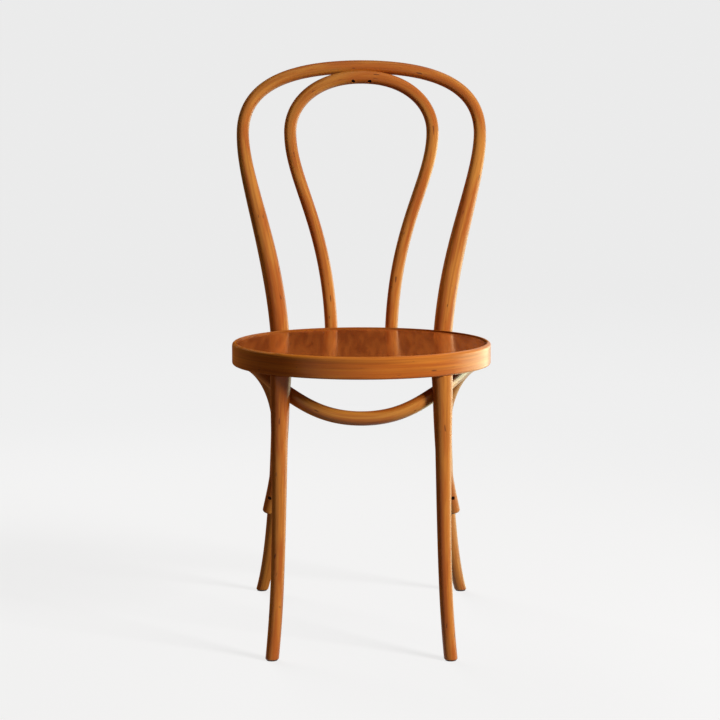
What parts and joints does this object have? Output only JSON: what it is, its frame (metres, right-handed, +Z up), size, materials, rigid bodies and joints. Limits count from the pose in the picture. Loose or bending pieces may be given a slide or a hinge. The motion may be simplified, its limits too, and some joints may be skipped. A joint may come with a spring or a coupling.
{
  "type": "bentwood dining chair",
  "caption": "Bentwood cafe dining chair with a round panelled seat, a double-hoop open back, splayed bent legs and a looping brace under the seat.",
  "frame": {"origin": "on the floor, in the middle of the chair's plan outline", "axes": "+Z up, +X to the right as seen from the front, -Y towards the front of the seat, where the sitter's knees are"},
  "size_m": [0.412, 0.4786, 0.8977],
  "materials": {
    "hoop_wood": "varnished",
    "ring_wood": "varnished",
    "panel_wood": "gloss varnish",
    "leg_wood": "varnished",
    "dark_screw": "blackened",
    "zinc_steel": "zinc plated",
    "glide_plastic": "matte"
  },
  "bodies": {
    "root": {"outer_hoop": "hoop_wood", "inner_hoop": "hoop_wood", "seat_ring": "ring_wood", "seat_panel": "panel_wood", "front_leg_left": "leg_wood", "front_leg_right": "leg_wood", "leg_brace": "hoop_wood", "crown_screws": "dark_screw", "inner_hoop_screws": "dark_screw", "rear_leg_bolts": "zinc_steel", "rear_leg_washers": "zinc_steel", "rear_leg_nuts": "zinc_steel", "leg_lock_screws": "dark_screw", "brace_front_screws": "dark_screw", "brace_ring_screws": "dark_screw", "brace_rear_screws": "dark_screw", "glide_front_left": "glide_plastic", "glide_front_right": "glide_plastic", "glide_rear_left": "glide_plastic", "glide_rear_right": "glide_plastic", "glide_nails": "zinc_steel"}
  },
  "joints": []
}
